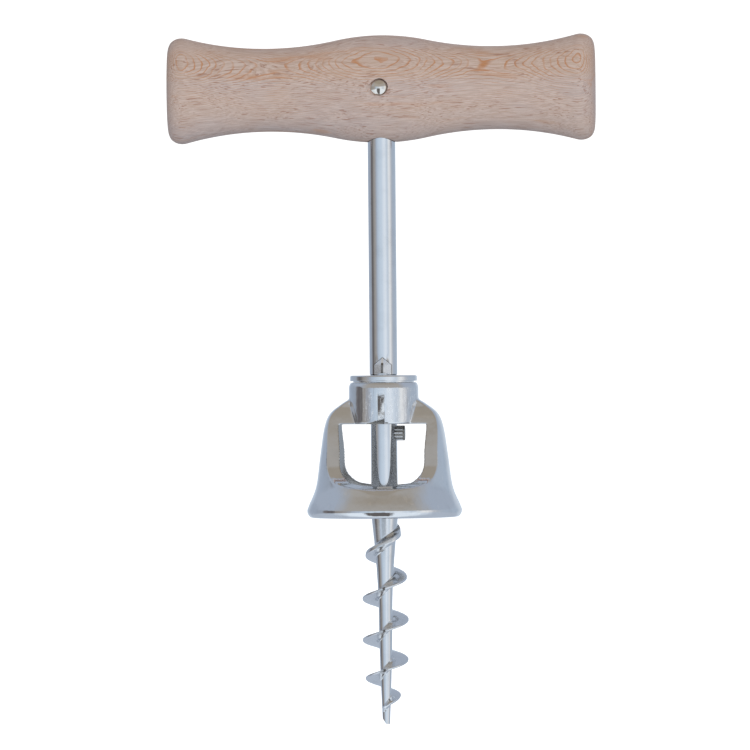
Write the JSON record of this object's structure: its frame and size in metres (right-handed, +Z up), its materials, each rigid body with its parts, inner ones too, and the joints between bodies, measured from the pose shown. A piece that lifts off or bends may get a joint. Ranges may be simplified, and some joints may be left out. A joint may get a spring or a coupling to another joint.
{
  "type": "bell corkscrew",
  "caption": "T-handle corkscrew: wooden cross handle on a steel spindle whose solid-core worm runs through an open bell that stands on the bottle neck.",
  "frame": {"origin": "on the spindle's axis, in the plane of the worm's point", "axes": "+Z up along the spindle towards the handle; +X along the handle, on the side of the stop pin; +Y to the back"},
  "size_m": [0.1006, 0.0364, 0.1616],
  "materials": {
    "raw_beech": "lightly oiled beech, satin",
    "rivet_steel": "bright steel, domed by peening",
    "plated_steel": "nickel plate over drawn and machined steel",
    "knurled_pin_steel": "plated, knurled along its length",
    "plated_washer": "nickel plate over stamped steel",
    "plated_casting": "bright nickel plate over a polished casting"
  },
  "bodies": {
    "handle_and_spindle": {"handle": "raw_beech", "handle_rivet": "rivet_steel", "spindle": "plated_steel", "stop_pin": "knurled_pin_steel"},
    "thrust_washer": {"thrust_washer": "plated_washer"},
    "bell": {"bell": "plated_casting"}
  },
  "joints": [
    {"name": "bell_play", "type": "slide", "parent": "handle_and_spindle", "child": "thrust_washer", "axis": [0, 0, 1], "range_m": [-0.0003, 0.0003]},
    {"name": "bell_spin", "type": "hinge", "parent": "thrust_washer", "child": "bell", "pos_m": [0, 0, 0.0752], "axis": [0, 0, 1], "continuous": true}
  ]
}
